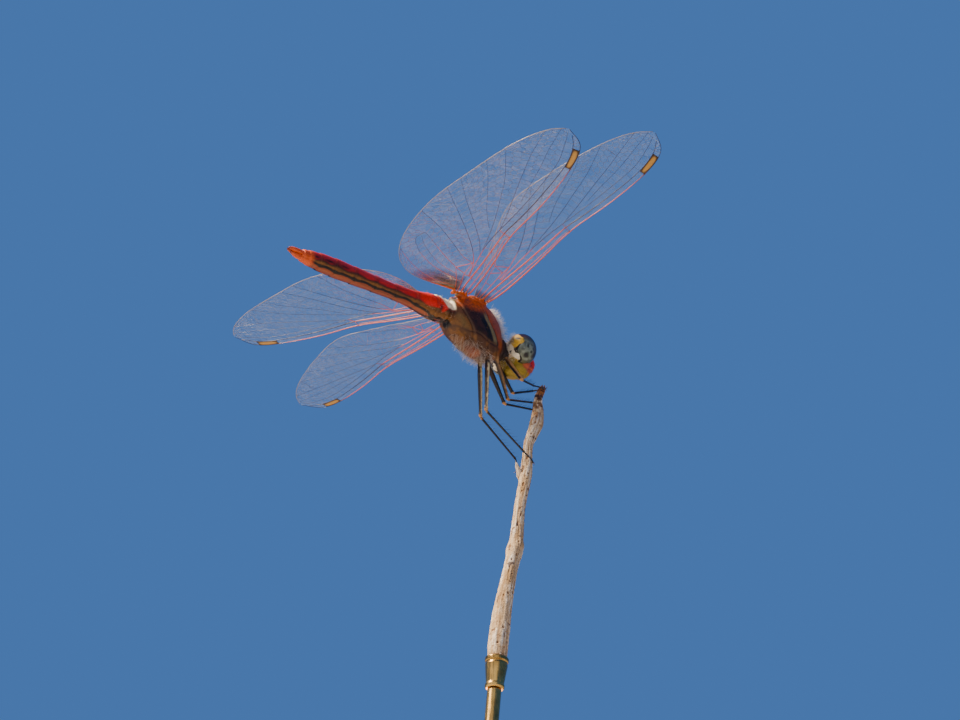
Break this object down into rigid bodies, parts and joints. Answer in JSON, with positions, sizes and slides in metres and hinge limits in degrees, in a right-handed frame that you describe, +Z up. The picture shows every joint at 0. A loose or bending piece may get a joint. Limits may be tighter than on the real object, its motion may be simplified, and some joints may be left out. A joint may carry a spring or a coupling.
{
  "type": "dragonfly",
  "caption": "Life-size still model of a red darter dragonfly with its wings spread, perched on a cut length of dry twig held by a round wooden display stand.",
  "frame": {"origin": "centre of the round base's underside, on the surface that the stand rests on", "axes": "+X the way the dragonfly's head points, +Y its left side, +Z up"},
  "size_m": [0.056, 0.0634, 0.0959],
  "materials": {
    "wing_membrane": "clear thin membrane on dark veins, the front ones red, with an ochre wing mark",
    "compound_eye": "glossy compound eye, brown-red above and grey-blue-green below",
    "red_face": "satin red cuticle",
    "yellow_head": "satin yellow cuticle with dark seams",
    "brown_thorax": "brown cuticle with olive bands under fine pale hair",
    "red_abdomen": "satin red cuticle with dark side lines",
    "black_leg": "black cuticle with a pale stripe on the outer side",
    "dry_twig": "bleached, weathered and finely cracked",
    "stand_wood": "dark oiled wood",
    "stand_brass": "satin"
  },
  "bodies": {
    "root": {"abdomen_s1": "red_abdomen", "abdomen_s10": "red_abdomen", "abdomen_s2": "red_abdomen", "abdomen_s3": "red_abdomen", "abdomen_s4": "red_abdomen", "abdomen_s5": "red_abdomen", "abdomen_s6": "red_abdomen", "abdomen_s7": "red_abdomen", "abdomen_s8": "red_abdomen", "abdomen_s9": "red_abdomen", "antenna_left": "black_leg", "antenna_right": "black_leg", "cercus_left": "red_abdomen", "cercus_right": "red_abdomen", "clypeus": "red_face", "eye_left": "compound_eye", "eye_right": "compound_eye", "femur_fore_left": "black_leg", "femur_fore_right": "black_leg", "femur_hind_left": "black_leg", "femur_hind_right": "black_leg", "femur_mid_left": "black_leg", "femur_mid_right": "black_leg", "forewing_left": "wing_membrane", "forewing_right": "wing_membrane", "frons": "red_face", "head": "yellow_head", "hindwing_left": "wing_membrane", "hindwing_right": "wing_membrane", "labium": "yellow_head", "labrum": "red_face", "lower_appendage": "red_abdomen", "neck": "brown_thorax", "perch_twig": "dry_twig", "prothorax": "brown_thorax", "stand_base": "stand_wood", "stand_collar": "stand_brass", "stand_rod": "stand_brass", "tarsus_fore_left": "black_leg", "tarsus_fore_right": "black_leg", "tarsus_hind_left": "black_leg", "tarsus_hind_right": "black_leg", "tarsus_mid_left": "black_leg", "tarsus_mid_right": "black_leg", "thorax": "brown_thorax", "tibia_fore_left": "black_leg", "tibia_fore_right": "black_leg", "tibia_hind_left": "black_leg", "tibia_hind_right": "black_leg", "tibia_mid_left": "black_leg", "tibia_mid_right": "black_leg", "vertex": "red_face"}
  },
  "joints": []
}
